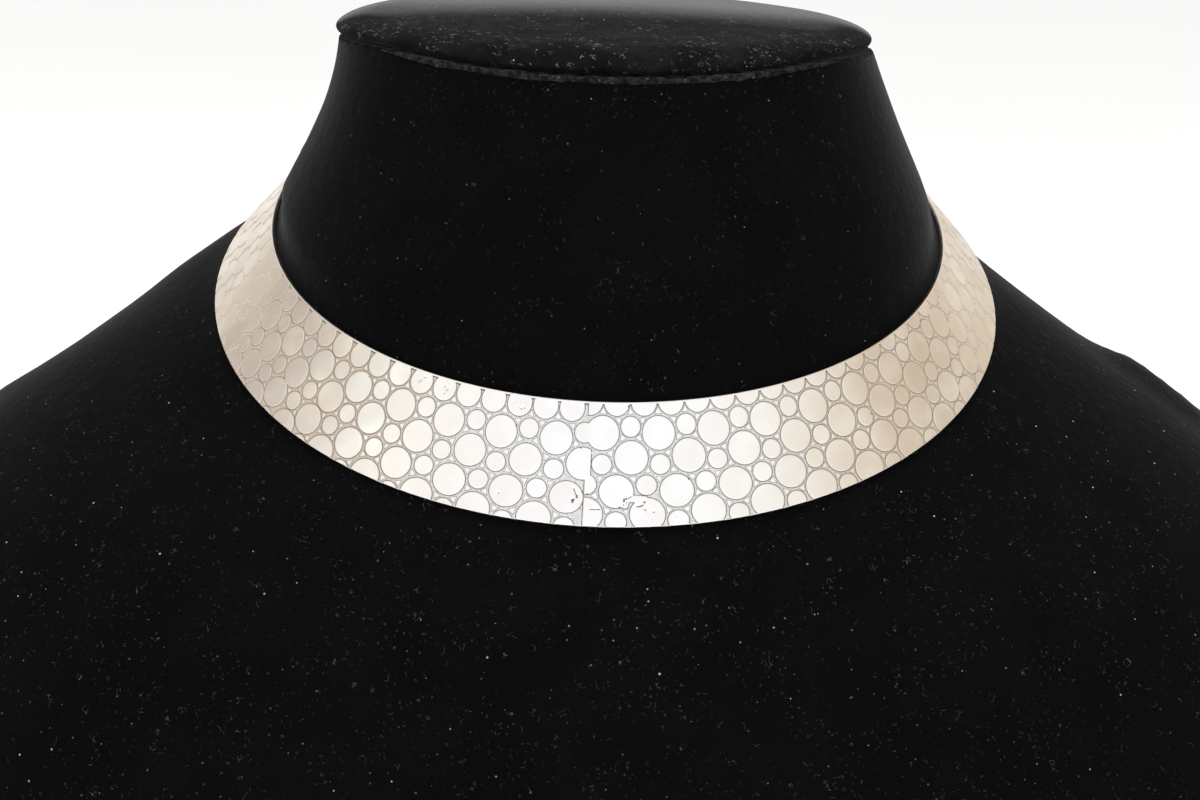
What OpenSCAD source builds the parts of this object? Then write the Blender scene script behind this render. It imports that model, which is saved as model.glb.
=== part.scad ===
// A silver neck cuff on the black velvet neck bust that shows it.
// Millimetres, +Z up, the front of the neck faces -Y, and the bust stands on Z = 0.

/* [Cuff] */
// Radius of the cuff's upper edge, which lies round the neck
cuff_inner_r = 62.5; // [56:0.5:70]
// Width of the sheet at the centre of the throat, measured along the sheet
front_w = 21.4; // [17:0.1:25]
// Width of the sheet at the nape, measured the same way
back_w = 13; // [11:0.1:16]
// Slope of the sheet below the plane of its upper edge, in degrees
sheet_slope = 51.3; // [50:0.1:55]
// Thickness of the silver sheet
sheet_t = 1; // [0.8:0.1:1.2]
// Angle left open between the two ends at the nape, within half a degree
opening_angle = 44; // [36:1:60]
// Angle that the cuff leans forward on the neck
cuff_tilt = 22.2; // [20:0.1:23]

/* [Neck cap] */
// Radius of the padded disc that closes the neck
cap_r = 49; // [46:0.1:52]
// Thickness of the disc at its rounded edge
cap_t = 3.6; // [3:0.1:7]
// Rise of the padding from the disc's edge to its middle
cap_crown = 1; // [0.4:0.1:3]

/* [Neck bust] */
// Share by which the bust is graded, where 1 goes with a cuff of 62.5 mm radius
bust_grade = 1; // [0.98:0.01:1]
// Play between the neck and the disc that lies on it
cap_play = 0.3; // [0.2:0.1:0.6]

/* [Hidden] */
$fn = 96;

silver = [0.78, 0.76, 0.73];
velvet = [0.03, 0.03, 0.032];
// Steps from the rim to the middle of the cap's crown
crown_steps = 6;
reference_r = 62.5;
grade = bust_grade * cuff_inner_r / reference_r;
cuff_h = 190 * grade;

// The bust's sections from the top of the neck to below its foot, at the reference size.
// Each is an oval that leans forward with the cuff, and the neck stands a little to one side.
HEIGHT = 0;     // above the centre of the cuff's upper edge
LEAN = 1;       // share of the cuff's tilt
HALF_W = 2;     // from the middle to the side
FRONT = 3;      // from the middle to the front
BACK = 4;       // from the middle to the back
CREST = 5;      // how far behind the middle the section is widest
FULLNESS = 6;   // 2 is an ellipse, more is squarer
ASIDE = 7;      // how far the neck stands to the left of the middle, seen from the front
bust_rows = [
    [  33.4, 0.144, 49.2, 49.4, 49.2, 0, 2, 1.4 ],
    [  29,   0.23, 50.5, 50.3, 50,   0, 2, 0.7  ],
    [  20,   0.42, 53.6, 52.6, 51.8, 0, 2, 0.1  ],
    [  10,   0.72, 58.4, 57.6, 56.4, 0, 2, 0.4  ],
    [   5,   0.88, 60.3, 59.6, 59.2, 0, 2, 0.5  ],
    [   0.3, 1,    60.8, 60.8, 60.9, 0, 2, 0.1  ],
    [  -6.6, 1.06, 65.2, 64.1, 65.3, 1, 2, 0    ],
    [ -16.5, 1.08, 73,   68.2, 73.2, 5, 2, 0    ],
    [ -22,   0.99, 82,   70.6, 75.2, 5, 2, 0    ],
    [ -34.5, 0.77, 104.5, 72.6, 76, 6, 2, 0     ],
    [ -49.5, 0.52, 127,  74.8, 77,   6, 2.1, 0  ],
    [ -81,   0.29, 145,  78.5, 79,   6, 2.2, 0  ],
    [-106,   0.14, 149,  80,   80,   4, 2.3, 0  ],
    [-134,   0.02, 144,  78.5, 79,   2, 2.3, 0  ],
    [-162,   0,    132,  74.5, 75,   0, 2.3, 0  ],
    [-192,   0,    117,  68.5, 69.5, 0, 2.3, 0  ]
];
bust_sides = 64;
rings_per_row = 2;

// The rim is cut square to the sheet by a cone whose axis stands forward of the cuff's own.
rim_shift = (front_w - back_w) / (2 * cos(sheet_slope));
rim_r = cuff_inner_r + front_w * cos(sheet_slope) - rim_shift
    + front_w * sin(sheet_slope) * tan(sheet_slope);
rim_fall = pow(tan(sheet_slope), 2);
rim_reach = rim_r + cuff_inner_r * rim_fall;

// Width of the sheet at a turn from the throat, where its slope meets the rim's cone.
function sheet_w(turn) =
    let (
        a = 1 - rim_fall * rim_fall,
        b = rim_reach * rim_fall - rim_shift * cos(turn),
        c = rim_shift * rim_shift - rim_reach * rim_reach
    )
    ((sqrt(b * b - a * c) - b) / a - cuff_inner_r) / cos(sheet_slope);

// Each end is rounded by a circle as wide as the sheet there.
nape_mid_r = cuff_inner_r + back_w / 2 * cos(sheet_slope);
end_turn = 180 - opening_angle / 2 - atan(back_w / 2 / nape_mid_r);
end_r = sheet_w(end_turn) / 2;
end_mid_r = cuff_inner_r + end_r * cos(sheet_slope);

// Point of the sheet's outline in its plane through the axis: down the slope, then through the sheet.
function sheet_point(down, through) = [
    cuff_inner_r + down * cos(sheet_slope) - through * sin(sheet_slope),
    -down * sin(sheet_slope) - through * cos(sheet_slope)
];

// Smooth curve through b and c, with a and d as their neighbours.
function smooth(a, b, c, d, t) = 0.5 * (2 * b + (c - a) * t + (2 * a - 5 * b + 4 * c - d) * t * t
    + (3 * b - a - 3 * c + d) * t * t * t);

function bust_row(i) = bust_rows[max(0, min(len(bust_rows) - 1, i))];

bust_sections = [
    for (i = [0 : len(bust_rows) - 2])
        for (k = [0 : rings_per_row - 1])
            smooth(bust_row(i - 1), bust_row(i), bust_row(i + 1), bust_row(i + 2), k / rings_per_row),
    bust_row(len(bust_rows) - 1)
];

// One ring of points round the bust, in the cuff's own height.
function bust_ring(s) = [
    for (j = [0 : bust_sides - 1])
        let (
            turn = 360 * j / bust_sides,
            power = 2 / s[FULLNESS],
            side = s[HALF_W] * sign(sin(turn)) * pow(abs(sin(turn)), power),
            reach = pow(abs(cos(turn)), power),
            deep = cos(turn) > 0 ? s[CREST] - (s[FRONT] + s[CREST]) * reach
                : s[CREST] + (s[BACK] - s[CREST]) * reach,
            lean = s[LEAN] * cuff_tilt
        )
        grade * [side - s[ASIDE], deep * cos(lean), s[HEIGHT] + deep * sin(lean)]
];

module cuff_place() {
    translate([0, 0, cuff_h]) rotate([cuff_tilt, 0, 0]) children();
}

// A conical strip of sheet, wider than the finished cuff and open at the nape.
module cuff_blank() {
    long = front_w + 4;
    rotate([0, 0, 90 + opening_angle / 2])
        rotate_extrude(angle = 360 - opening_angle)
            polygon([sheet_point(0, 0), sheet_point(long, 0), sheet_point(long, sheet_t), sheet_point(0, sheet_t)]);
}

// What lies within the cuff's lower rim.
module inside_rim() {
    low = -(front_w + 6) * sin(sheet_slope);
    high = 6;
    translate([0, -rim_shift, low])
        cylinder(h = high - low, r1 = rim_r + low * tan(sheet_slope), r2 = rim_r + high * tan(sheet_slope));
}

// What is cut away beyond the round end on the right.
module end_waste() {
    rotate([0, 0, end_turn])
        translate([0, -end_mid_r, -end_r * sin(sheet_slope)])
            rotate([sheet_slope, 0, 0])
                difference() {
                    translate([0, -back_w, -3 * sheet_t]) cube([back_w, 2 * back_w, 6 * sheet_t]);
                    cylinder(h = 8 * sheet_t, r = end_r, center = true);
                }
}

module cuff() {
    color(silver) cuff_place()
        difference() {
            intersection() {
                cuff_blank();
                inside_rim();
            }
            end_waste();
            mirror([1, 0, 0]) end_waste();
        }
}

module bust_skin() {
    rings = [for (s = bust_sections) bust_ring(s)];
    last = len(rings) - 1;
    polyhedron(
        points = [for (ring = rings) for (p = ring) p],
        faces = concat(
            [[for (j = [0 : bust_sides - 1]) j]],
            [
                for (i = [0 : last - 1])
                    for (j = [0 : bust_sides - 1])
                        let (
                            next = (j + 1) % bust_sides,
                            a = i * bust_sides + j,
                            b = i * bust_sides + next,
                            c = b + bust_sides,
                            d = a + bust_sides
                        )
                        each [[a, c, b], [a, d, c]]
            ],
            [[for (j = [bust_sides - 1 : -1 : 0]) last * bust_sides + j]]
        ),
        convexity = 4
    );
}

module bust() {
    wide = 400;
    color(velvet)
        difference() {
            translate([0, 0, cuff_h]) bust_skin();
            translate([-wide / 2, -wide / 2, -wide]) cube(wide);
        }
}

module neck_cap() {
    flat_r = cap_r - cap_t / 2;
    top = bust_rows[0];
    color(velvet)
        translate([-top[ASIDE] * grade, 0, cuff_h + top[HEIGHT] * grade])
            rotate([top[LEAN] * cuff_tilt, 0, 0])
            translate([0, 0, cap_play])
            rotate_extrude() {
                square([flat_r, cap_t]);
                translate([flat_r, cap_t / 2]) circle(r = cap_t / 2);
                polygon(concat([[0, 0]], [
                    for (i = [crown_steps : -1 : 0])
                        let (share = i / crown_steps)
                        [flat_r * share, cap_t + cap_crown * (1 - share * share)]
                ]));
            }
}

cuff();
bust();
neck_cap();
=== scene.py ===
"""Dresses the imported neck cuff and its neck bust: stamped silver sheet, black velvet, pale studio.

The sheet is laid out flat, stamped with two strikes of one die, and then bent onto its cone, as the
real one was. Flat places on the sheet are (along, drop): millimetres along the strip from the centre
of the throat, and millimetres down the sheet from its upper edge. The finished pieces are in metres.
"""

import logging
import math
import random
from collections.abc import Callable
from dataclasses import dataclass, field
from enum import Enum
from functools import reduce

import bmesh
import bpy
import numpy as np
from mathutils import Matrix, Vector, noise
from mathutils.geometry import delaunay_2d_cdt

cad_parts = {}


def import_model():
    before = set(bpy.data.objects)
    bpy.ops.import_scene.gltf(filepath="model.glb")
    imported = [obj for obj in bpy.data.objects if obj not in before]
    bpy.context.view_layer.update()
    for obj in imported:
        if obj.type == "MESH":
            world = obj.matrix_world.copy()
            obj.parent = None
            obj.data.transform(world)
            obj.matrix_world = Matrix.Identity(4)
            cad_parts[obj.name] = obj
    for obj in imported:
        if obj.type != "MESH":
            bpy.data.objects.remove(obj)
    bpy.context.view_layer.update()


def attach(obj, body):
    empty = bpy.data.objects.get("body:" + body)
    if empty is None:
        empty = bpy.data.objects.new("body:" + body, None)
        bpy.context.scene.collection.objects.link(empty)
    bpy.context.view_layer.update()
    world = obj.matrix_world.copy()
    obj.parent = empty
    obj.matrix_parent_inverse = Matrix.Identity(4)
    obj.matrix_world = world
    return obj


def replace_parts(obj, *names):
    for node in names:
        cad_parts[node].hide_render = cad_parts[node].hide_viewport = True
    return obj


LOG = logging.getLogger("neck_cuff")
MM = 0.001
# How near two places are when they count as one.
TOUCHING = 1e-6
BODY = "root"
BMesh = bmesh.types.BMesh
BMEdge = bmesh.types.BMEdge
BMVert = bmesh.types.BMVert
Material = bpy.types.Material
Node = bpy.types.Node
Outputs = bpy.types.NodeOutputs
Piece = bpy.types.Object
Socket = bpy.types.NodeSocket
Tree = bpy.types.NodeTree
Colour = tuple[float, float, float]
Flat = tuple[float, float]
Place = tuple[float, float, float]
# The two ends of a range and, where these aren't 0 and 1, what it eases from and to.
Band = tuple[float, ...]
# The rate, phase and size of each sine of a wavering line.
Waves = tuple[Place, ...]


def waver(turn: float, waves: Waves) -> float:
    """The height of a wavering line at a turn."""
    return sum(size * math.sin(rate * turn + phase) for rate, phase, size in waves)


class Graph:
    """Short hand for laying and joining the nodes of one tree."""

    def __init__(self, tree: Tree) -> None:
        """Takes the tree that the nodes go into."""
        self.tree = tree

    def feed(self, node: Node, inputs: dict) -> None:
        """Joins or sets a node's inputs.

        Args:
            node: the node.
            inputs: socket name or index, and the socket or value that goes into it.
        """
        for key, value in inputs.items():
            socket = node.inputs[key]
            if isinstance(value, Socket):
                self.tree.links.new(value, socket)
            elif isinstance(value, tuple) and len(socket.default_value) == 4:
                socket.default_value = (*value, 1.0)
            else:
                socket.default_value = value

    def add(self, kind: str, inputs: dict | None = None, **settings: object) -> Node:
        """Lays one node.

        Args:
            kind: the node's type.
            inputs: socket name or index, and the socket or value that goes into it.
            settings: the node's own options.

        Returns:
            The new node.
        """
        node = self.tree.nodes.new(kind)
        for key, value in settings.items():
            setattr(node, key, value)
        self.feed(node, inputs or {})
        return node

    def math(self, operation: str, a: Socket | float, b: Socket | float = 0.0) -> Socket:
        """The result of one Math node."""
        return self.add("ShaderNodeMath", {0: a, 1: b}, operation=operation).outputs[0]

    def total(self, *parts: Socket | float) -> Socket:
        """The sum of two or more values."""
        return reduce(lambda a, b: self.math("ADD", a, b), parts)

    def product(self, *factors: Socket | float) -> Socket:
        """The product of two or more values."""
        return reduce(lambda a, b: self.math("MULTIPLY", a, b), factors)

    def most(self, a: Socket | float, b: Socket | float) -> Socket:
        """The larger of two values."""
        return self.math("MAXIMUM", a, b)

    def band(
        self, value: Socket, low: float, high: float, to_low: float = 0.0, to_high: float = 1.0
    ) -> Socket:
        """Eases a value from to_low at low to to_high at high."""
        places = {"Value": value, "From Min": low, "From Max": high, "To Min": to_low, "To Max": to_high}
        return self.add("ShaderNodeMapRange", places, interpolation_type="SMOOTHSTEP").outputs[0]

    def mix(
        self, factor: Socket | float, a: Socket | Colour, b: Socket | Colour, blend: str = "MIX"
    ) -> Socket:
        """Mixes two colours by a factor."""
        node = self.add("ShaderNodeMix", {0: factor, 6: a, 7: b}, data_type="RGBA", blend_type=blend)
        return node.outputs[2]

    def noise(
        self, vector: Socket, scale: Socket | float, detail: float = 2.0, rough: float = 0.5
    ) -> Socket:
        """The value of one Noise node, about 0.5."""
        settings = {"Vector": vector, "Scale": scale, "Detail": detail, "Roughness": rough}
        return self.add("ShaderNodeTexNoise", settings).outputs[0]

    def parts(self, vector: Socket) -> Outputs:
        """The X, Y and Z of a vector."""
        return self.add("ShaderNodeSeparateXYZ", {0: vector}).outputs

    def bump(self, height: Socket, strength: float, distance: float) -> Socket:
        """The normal that one Bump node gives."""
        settings = {"Strength": strength, "Distance": distance, "Height": height}
        return self.add("ShaderNodeBump", settings).outputs[0]

    def call(self, group: Tree, *inputs: Socket | float) -> Socket:
        """The mask of a group, given its inputs in their order."""
        return self.add("ShaderNodeGroup", dict(enumerate(inputs)), node_tree=group).outputs["Mask"]


def make_group(name: str, values: tuple[str, ...], lay: Callable[[Graph, Outputs], Socket]) -> Tree:
    """Makes a shader node group that turns a vector and some values into a mask.

    Args:
        name: the group's name.
        values: the names of its inputs after Vector.
        lay: lays the nodes from the inputs to the mask.

    Returns:
        The group.
    """
    tree = bpy.data.node_groups.new(name, "ShaderNodeTree")
    tree.interface.new_socket("Vector", in_out="INPUT", socket_type="NodeSocketVector")
    for label in values:
        tree.interface.new_socket(label, in_out="INPUT", socket_type="NodeSocketFloat")
    tree.interface.new_socket("Mask", in_out="OUTPUT", socket_type="NodeSocketFloat")
    graph = Graph(tree)
    mask = lay(graph, graph.add("NodeGroupInput").outputs)
    graph.add("NodeGroupOutput", {"Mask": mask})
    return tree


@dataclass(frozen=True)
class Effects:
    """The shared node groups: soft patches, scattered dots and curled fibres."""

    patches: Tree
    specks: Tree
    fibres: Tree
    patch_edges: Band = (0.34, 0.66)
    patch_detail: float = 3.0
    curl_detail: float = 1.0
    noise_middle: float = 0.5
    rare: float = 4.0
    paleness: Band = (0.0, 1.0, 0.15, 1.0)
    speck_edge: Band = (0.0, 0.6)

    @classmethod
    def make(cls) -> "Effects":
        """Makes the groups, each of them once."""
        return cls(
            make_group("patches", ("Scale",), cls.lay_patches),
            make_group("specks", ("Cells", "Size"), cls.lay_specks),
            make_group("fibres", ("Cells", "Reach", "Curl", "Width"), cls.lay_fibres),
        )

    @classmethod
    def lay_patches(cls, graph: Graph, given: Outputs) -> Socket:
        """Soft uneven patches, from 0 to 1."""
        return graph.band(graph.noise(given["Vector"], given["Scale"], cls.patch_detail), *cls.patch_edges)

    @classmethod
    def lay_specks(cls, graph: Graph, given: Outputs) -> Socket:
        """Small scattered dots of uneven size and paleness, as dust leaves.

        Args:
            graph: the group's graph.
            given: its inputs: the cells in a metre, and the size of the largest dot.

        Returns:
            The mask.
        """
        cell = graph.add("ShaderNodeTexVoronoi", {"Vector": given["Vector"], "Scale": given["Cells"]})
        chances = graph.add("ShaderNodeSeparateColor", {0: cell.outputs["Color"]}).outputs
        reach = graph.product(given["Size"], given["Cells"], chances[0])
        inside = graph.math("SUBTRACT", reach, cell.outputs["Distance"])
        paleness = graph.band(graph.math("POWER", chances[2], cls.rare), *cls.paleness)
        return graph.product(graph.band(graph.math("DIVIDE", inside, reach), *cls.speck_edge), paleness)

    @classmethod
    def lay_fibres(cls, graph: Graph, given: Outputs) -> Socket:
        """Short curled hairs: thin lines that show only near scattered points.

        Args:
            graph: the group's graph.
            given: its inputs: the cells in a metre, the hairs' reach, how tightly they curl, and their width.

        Returns:
            The mask.
        """
        cell = graph.add("ShaderNodeTexVoronoi", {"Vector": given["Vector"], "Scale": given["Cells"]})
        chance = graph.add("ShaderNodeSeparateColor", {0: cell.outputs["Color"]}).outputs[1]
        reach = graph.product(given["Reach"], given["Cells"], chance)
        near = graph.math("LESS_THAN", cell.outputs["Distance"], reach)
        curl = graph.noise(given["Vector"], given["Curl"], cls.curl_detail)
        off = graph.math("ABSOLUTE", graph.math("SUBTRACT", curl, cls.noise_middle))
        line = graph.math("SUBTRACT", 1.0, graph.math("DIVIDE", off, given["Width"]))
        return graph.product(graph.most(line, 0.0), near)


def start_material(name: str) -> tuple[Material, Graph, Node]:
    """A new node material.

    Args:
        name: the material's name.

    Returns:
        The material, its graph, and its Principled shader.
    """
    material = bpy.data.materials.new(name)
    material.use_nodes = True
    return material, Graph(material.node_tree), material.node_tree.nodes["Principled BSDF"]


@dataclass(frozen=True)
class StampedSilver:
    """Worn silver: satin raised circles over a frosted ground, with dark lines of painted shade round the
    circles.

    Its bands toward the ends, where the colour is painted warmer as a painted reflection of the warm room,
    run over the millimetres from the middle of the throat. Those of the relief run over its level: 1 on a
    circle, 0 in the line round it, and about a third on the ground.
    """

    bright: Colour = (0.93, 0.905, 0.87)
    # Painted reflection: the face is bright at the throat, where it mirrors the front light, and warmer
    # toward the ends, where it mirrors the warm room.
    tarnish_and_warm_reflection: Colour = (0.79, 0.72, 0.64)
    cool_veil: Colour = (0.72, 0.68, 0.67)
    warm_veil: Colour = (0.74, 0.66, 0.56)
    ground: Colour = (0.41, 0.41, 0.4)
    frost: Colour = (0.64, 0.635, 0.62)
    # Painted shade: the dark line round each circle and stud stands for the shade of their walls.
    outline: Colour = (0.07, 0.07, 0.073)
    # Painted reflection: the outline and the ground are painted warmer and paler toward the ends, as they
    # mirror the warm room.
    outline_warm_reflection: Colour = (0.1, 0.07, 0.043)
    warm_reflection_tint: Colour = (0.84, 0.75, 0.64)
    blended: Colour = (0.465, 0.395, 0.315)
    far_warm_reflection: Colour = (0.57, 0.5, 0.415)
    satin: float = 0.3
    cloudy: float = 0.07
    oxide: float = 0.55
    # Where the painted shade of the outline fades toward the ends.
    crisp: Band = (36.0, 72.0, 1.0, 0.7)
    outline_fade: Band = (76.0, 90.0, 1.0, 0.15)
    # Bands over the millimetres from the throat along which the painted warm reflection grows.
    reflected_warmth: Band = (14.0, 60.0)
    warm_reflection_share: Band = (28.0, 60.0, 0.0, 0.95)
    farther_warm_reflection: Band = (74.0, 92.0)
    stained: Band = (30.0, 65.0, 0.25, 0.6)
    uneven: Band = (20.0, 60.0, 0.22, 0.55)
    hazy: Band = (26.0, 58.0, 0.0, 0.75)
    warming: Band = (-10.0, 10.0)
    raised: Band = (0.7, 1.0)
    floor: Band = (0.1, 0.34)
    metal: Band = (0.6, 1.0, 0.3, 1.0)
    pitted: Band = (0.5, 0.9, 1.0, 0.12)
    frosting: Band = (0.36, 0.64)
    pits: Band = (0.3, 0.7)
    stain_scale: float = 0.16
    cloud_scale: float = 0.55
    haze_scale: float = 0.1
    grain: tuple[float, float, float] = (5.0, 4.0, 0.7)
    hairlines: tuple[float, float, float] = (1.6, 3.0, 0.6)
    hairline_run: tuple[float, float, float] = (0.35, 6.0, 1.0)
    hairline_depth: float = 0.16
    cloud_depth: float = 0.25
    tooth: float = 0.35
    tooth_depth: float = 0.00008

    def face_colour(self, graph: Graph, effects: Effects, strip: Socket, tone: Socket) -> Socket:
        """The raised face's colour: a painted reflection, bright at the throat and warm toward the ends, with
        its own tone and stains.

        Args:
            graph: the material's graph.
            effects: the shared node groups.
            strip: the flat place on the sheet.
            tone: each circle's own tone.

        Returns:
            The colour.
        """
        along = graph.parts(strip)["X"]
        aside = graph.math("ABSOLUTE", along)
        stains = graph.call(effects.patches, strip, self.stain_scale)
        uneven = graph.product(tone, graph.band(aside, *self.uneven))
        # Toward the ends the face is painted warmer, a painted reflection of the warm room, by as much as the
        # circles' own tone and stains give.
        tarnish_and_reflection_share = graph.total(graph.product(stains, graph.band(aside, *self.stained)), uneven)
        haze = graph.call(effects.patches, strip, self.haze_scale)
        hazy = graph.product(haze, graph.band(aside, *self.hazy))
        veil = graph.mix(graph.band(along, *self.warming), self.cool_veil, self.warm_veil)
        return graph.mix(hazy, graph.mix(tarnish_and_reflection_share, self.bright, self.tarnish_and_warm_reflection), veil)

    def sunk_colour(self, graph: Graph, strip: Socket, relief: Socket, grain: Socket) -> Socket:
        """The colour of the ground between the circles and of the dark lines of painted shade round them,
        both painted warmer toward the ends as a painted reflection of the warm room.

        Args:
            graph: the material's graph.
            strip: the flat place on the sheet.
            relief: the relief's level.
            grain: the frosted ground's fine grain.

        Returns:
            The colour.
        """
        aside = graph.math("ABSOLUTE", graph.parts(strip)["X"])
        # Toward the ends the ground is painted warmer and paler: a painted reflection of the warm room.
        reflected_warmth = graph.band(aside, *self.reflected_warmth)
        frosted = graph.mix(graph.band(grain, *self.frosting), self.ground, self.frost)
        frosted = graph.mix(reflected_warmth, frosted, graph.mix(1.0, frosted, self.warm_reflection_tint, "MULTIPLY"))
        farther_warm_reflection = graph.mix(graph.band(aside, *self.farther_warm_reflection), self.blended, self.far_warm_reflection)
        frosted = graph.mix(graph.band(aside, *self.warm_reflection_share), frosted, farther_warm_reflection)
        # The dark outline is painted shade of the walls, fading toward the ends.
        crisp = graph.product(graph.band(aside, *self.crisp), graph.band(aside, *self.outline_fade))
        lined = graph.mix(crisp, frosted, graph.mix(reflected_warmth, self.outline, self.outline_warm_reflection))
        return graph.mix(graph.band(relief, *self.floor), lined, frosted)

    def build(self, effects: Effects) -> Material:
        """Makes the material, which reads the sheet's strip, relief and tone attributes.

        Args:
            effects: the shared node groups.

        Returns:
            The material.
        """
        material, graph, shader = start_material("stamped_silver")
        strip = graph.add("ShaderNodeAttribute", attribute_name="strip").outputs["Vector"]
        relief = graph.add("ShaderNodeAttribute", attribute_name="relief").outputs["Fac"]
        tone = graph.add("ShaderNodeAttribute", attribute_name="tone").outputs["Fac"]
        clouds = graph.call(effects.patches, strip, self.cloud_scale)
        grain = graph.noise(strip, *self.grain)
        run = graph.add("ShaderNodeMapping", {"Vector": strip, "Scale": self.hairline_run}).outputs[0]
        hairlines = graph.product(graph.noise(run, *self.hairlines), self.hairline_depth)
        raised = graph.band(relief, *self.raised)
        satin = graph.total(self.satin, graph.product(clouds, self.cloudy))
        rough = graph.add("ShaderNodeMix", {0: raised, 2: self.oxide, 3: satin}, data_type="FLOAT")
        pitted = graph.product(graph.band(grain, *self.pits), graph.band(relief, *self.pitted))
        height = graph.total(pitted, hairlines, graph.product(clouds, self.cloud_depth))
        sunk = self.sunk_colour(graph, strip, relief, grain)
        face = self.face_colour(graph, effects, strip, tone)
        dress = {
            "Base Color": graph.mix(raised, sunk, face),
            "Roughness": rough.outputs[0],
            "Metallic": graph.band(relief, *self.metal),
            "Normal": graph.bump(height, self.tooth, self.tooth_depth),
        }
        graph.feed(shader, dress)
        return material


@dataclass(frozen=True)
class Velvet:
    """Black display velvet with a short pile, brushed patches and pale lint, and a painted sheen where veil
    is set.

    dots holds the cells in a metre and the largest size. hair and tuft hold the cells, the reach, the
    curl and the width of their fibres. low_lint and top_lint are heights in metres between which the
    share of lint changes, and dust is that share on the neck and above it.
    """

    name: str = "black_velvet"
    pile: Colour = (0.0024, 0.0024, 0.0025)
    brushed: Colour = (0.0031, 0.0031, 0.0032)
    patch: float = 70.0
    # Also the colour of the painted sheen on level faces at a glancing angle.
    lint: Colour = (0.35, 0.345, 0.335)
    dust: tuple[float, float] = (0.45, 0.7)
    drifting: float = 0.085
    tuft: tuple[float, float, float, float] = (1150.0, 0.00042, 1000.0, 0.03)
    # How strongly level faces at a glancing angle are painted pale, a painted sheen.
    veil: float = 0.0
    tooth: float = 0.2
    sheen: float = 0.2
    sheen_rough: float = 0.33
    sheen_tint: Colour = (0.5, 0.5, 0.51)
    rough: float = 0.95
    low_lint: Band = (0.14, 0.19)
    top_lint: Band = (0.21, 0.224)
    dots: tuple[float, float] = (520.0, 0.00026)
    hair: tuple[float, float, float, float] = (350.0, 0.0009, 600.0, 0.011)
    hair_share: float = 0.17
    drift_scale: float = 110.0
    stroke_scale: float = 420.0
    stroked: Band = (0.0, 1.0, 0.55, 1.0)
    fine_scale: float = 2600.0
    fine_depth: float = 0.4
    stroke_depth: float = 0.6
    tooth_depth: float = 0.0003
    glancing: Band = (0.86, 0.925)
    upward: Band = (0.5, 0.95)

    def lint_mask(self, graph: Graph, effects: Effects, place: Socket) -> Socket:
        """Where the pale dots, hairs and tufts lie.

        Args:
            graph: the material's graph.
            effects: the shared node groups.
            place: the place on the piece.

        Returns:
            The mask.
        """
        high = graph.parts(place)["Z"]
        low_down = graph.band(high, *self.low_lint, 1.0, self.dust[0])
        dusty = graph.most(low_down, graph.band(high, *self.top_lint, *self.dust))
        dots = graph.call(effects.specks, place, *self.dots)
        hairs = graph.product(graph.call(effects.fibres, place, *self.hair), self.hair_share)
        drifts = graph.call(effects.patches, place, self.drift_scale)
        tufts = graph.product(graph.call(effects.fibres, place, *self.tuft), drifts, self.drifting)
        return graph.product(graph.most(dots, graph.most(hairs, tufts)), dusty)

    def painted_glancing_sheen_mask(self, graph: Graph) -> Socket:
        """Where a level, upward face seen at a glancing angle is painted pale: a painted sheen.

        Args:
            graph: the material's graph.

        Returns:
            The mask.
        """
        facing = graph.add("ShaderNodeLayerWeight", {"Blend": 0.5}).outputs["Facing"]
        normal = graph.add("ShaderNodeNewGeometry").outputs["Normal"]
        upward = graph.band(graph.parts(normal)["Z"], *self.upward)
        return graph.product(graph.band(facing, *self.glancing, 0.0, self.veil), upward)

    def build(self, effects: Effects) -> Material:
        """Makes the material from Object coordinates, which are the row frame in metres.

        Args:
            effects: the shared node groups.

        Returns:
            The material.
        """
        material, graph, shader = start_material(self.name)
        place = graph.add("ShaderNodeTexCoord").outputs["Object"]
        brushing = graph.call(effects.patches, place, self.patch)
        strokes = graph.call(effects.patches, place, self.stroke_scale)
        nap = graph.product(brushing, graph.band(strokes, *self.stroked))
        cloth = graph.mix(nap, self.pile, self.brushed)
        linted = graph.mix(self.lint_mask(graph, effects, place), cloth, self.lint)
        fine = graph.product(graph.noise(place, self.fine_scale), self.fine_depth)
        height = graph.total(fine, graph.product(strokes, self.stroke_depth))
        dress = {
            # The lint colour is also painted over level faces at a glancing angle, as a painted sheen.
            "Base Color": graph.mix(self.painted_glancing_sheen_mask(graph), linted, self.lint),
            "Normal": graph.bump(height, self.tooth, self.tooth_depth),
            "Roughness": self.rough,
            "Specular IOR Level": 0.0,
            "Sheen Weight": self.sheen,
            "Sheen Roughness": self.sheen_rough,
            "Sheen Tint": self.sheen_tint,
        }
        graph.feed(shader, dress)
        return material


BLACK_VELVET = Velvet()
# The hem's velvet is painted lighter than the black velvet: a painted sheen where the roll faces up.
CRUSHED_SHEEN_VELVET = Velvet(
    "crushed_velvet",
    pile=(0.005, 0.005, 0.0052),
    brushed=(0.024, 0.024, 0.025),
    patch=900.0,
    dust=(0.8, 0.8),
    drifting=0.4,
)
# The cap's velvet: dustier, with a painted sheen on its level top at a glancing angle.
DUSTY_SHEEN_VELVET = Velvet(
    "dusty_velvet",
    pile=(0.0045, 0.0045, 0.0048),
    brushed=(0.01, 0.01, 0.0104),
    patch=140.0,
    lint=(0.5, 0.49, 0.48),
    dust=(1.0, 1.0),
    drifting=0.26,
    tuft=(800.0, 0.0008, 1000.0, 0.03),
    veil=0.24,
    tooth=0.08,
    sheen=0.065,
)


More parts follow.
